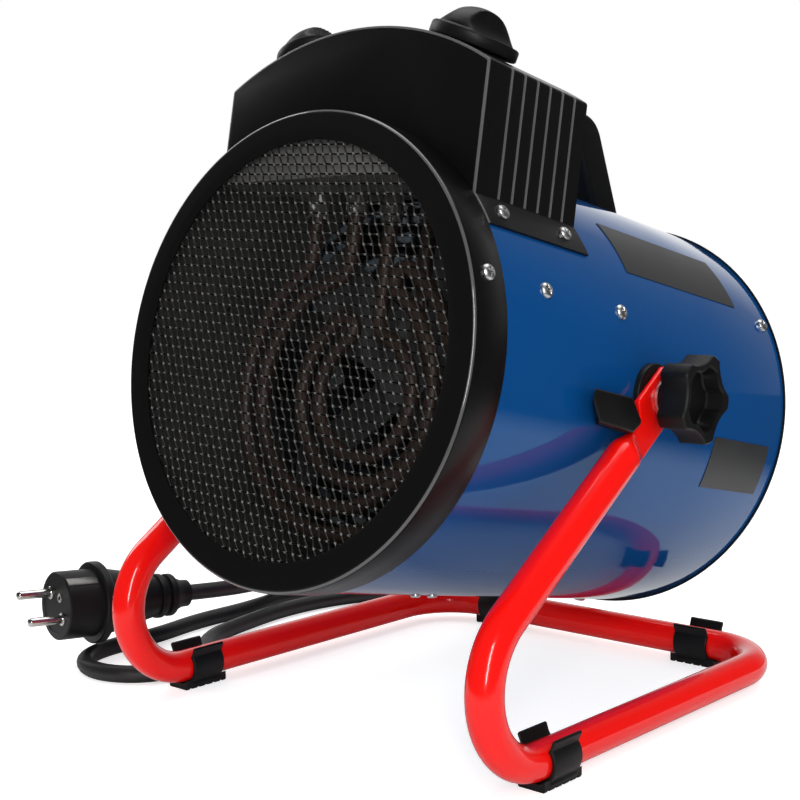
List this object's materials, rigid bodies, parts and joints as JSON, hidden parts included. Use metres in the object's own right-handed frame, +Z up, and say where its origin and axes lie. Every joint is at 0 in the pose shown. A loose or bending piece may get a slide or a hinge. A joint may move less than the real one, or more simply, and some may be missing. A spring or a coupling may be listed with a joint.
{
  "type": "forced air heater",
  "caption": "Portable electric fan heater: round drum with wire mesh, carry handle and control box, tilting in a bent-tube stand, with a coiled mains cord.",
  "frame": {"origin": "on the floor, straight below the tilt axis and midway between the two legs of the stand", "axes": "+X to the heater's right as seen from behind, along the tilt axis; +Y to the rear, where the air goes in; +Z up; the drum stands nose up by 11 degrees, on its stops"},
  "size_m": [0.3952, 0.4411, 0.3291],
  "materials": {
    "red_paint": "glossy red powder coat",
    "blue_paint": "glossy blue powder coat",
    "black_paint": "semi-gloss near-black powder coat",
    "zinc": "bright zinc plate",
    "inner_steel": "bare sheet steel",
    "element": "heat-browned sheath",
    "ceramic": "off-white ceramic",
    "fan_metal": "bare sheet",
    "motor_paint": "dark enamel",
    "black_plastic": "fine matt grain",
    "pale_plastic": "plain moulding",
    "label": "bare dark grey film",
    "black_rubber": "satin rubber",
    "plated_pins": "nickel plate"
  },
  "bodies": {
    "stand": {"stand_tube": "red_paint", "foot_clip_front_right": "black_plastic", "foot_clip_front_left": "black_plastic", "foot_clip_rear_right": "black_plastic", "foot_clip_rear_left": "black_plastic", "washer_right": "zinc", "washer_left": "zinc", "cord_lead": "black_rubber", "cord_coil": "black_rubber", "cord_tie": "black_plastic", "cord_tail": "black_rubber", "mains_plug": "black_rubber", "plug_pins": "plated_pins", "plug_earth": "plated_pins"},
    "heater": {"saddle_right": "black_plastic", "saddle_left": "black_plastic", "clamp_nut_right": "zinc", "clamp_nut_left": "zinc", "drum_shell": "blue_paint", "front_ring": "black_paint", "front_mesh": "zinc", "box_cover": "black_paint", "box_front_plate": "black_paint", "box_rear_plate": "black_paint", "thermostat_body": "pale_plastic", "selector_switch": "pale_plastic", "handle": "black_plastic", "heat_shield": "inner_steel", "baffle_plate": "inner_steel", "element_outer": "element", "element_inner": "element", "element_bushings": "ceramic", "motor_bracket": "inner_steel", "fan_motor": "motor_paint", "rear_guard": "black_paint", "cord_gland": "black_rubber", "terminal_block": "pale_plastic", "thermal_cutout": "zinc", "name_plate": "label", "rating_plate": "label", "ring_screws": "zinc", "drum_screws": "zinc", "rear_screws": "zinc", "box_screws": "zinc", "handle_screws": "zinc", "seam_rivets": "blue_paint"},
    "fan": {"fan_blade": "fan_metal", "motor_shaft": "zinc"},
    "thermostat_dial": {"thermostat_knob": "black_plastic", "thermostat_spindle": "zinc"},
    "selector_dial": {"selector_knob": "black_plastic", "selector_spindle": "zinc"},
    "clamp_right": {"side_knob_right": "black_plastic", "clamp_bolt_right": "zinc"},
    "clamp_left": {"side_knob_left": "black_plastic", "clamp_bolt_left": "zinc"}
  },
  "joints": [
    {"name": "tilt", "type": "hinge", "parent": "stand", "child": "heater", "pos_m": [0, 0, 0.15354], "axis": [-1, 0, 0], "range_deg": [0, 13]},
    {"name": "fan_spin", "type": "hinge", "parent": "heater", "child": "fan", "pos_m": [0, 0, 0.15354], "axis": [0, 0.9813, -0.1927], "continuous": true},
    {"name": "thermostat_turn", "type": "hinge", "parent": "heater", "child": "thermostat_dial", "pos_m": [0.0505, -0.05973, 0.30868], "axis": [0.3303, 0.1819, 0.9262], "range_deg": [0, 270]},
    {"name": "selector_turn", "type": "hinge", "parent": "heater", "child": "selector_dial", "pos_m": [-0.044, -0.05932, 0.31075], "axis": [-0.2878, 0.1845, 0.9398], "range_deg": [0, 135]},
    {"name": "clamp_right_turn", "type": "hinge", "parent": "heater", "child": "clamp_right", "pos_m": [0.12, 0, 0.15354], "axis": [1, 0, 0], "range_deg": [0, 360]},
    {"name": "clamp_left_turn", "type": "hinge", "parent": "heater", "child": "clamp_left", "pos_m": [-0.12, 0, 0.15354], "axis": [-1, 0, 0], "range_deg": [0, 360]}
  ]
}
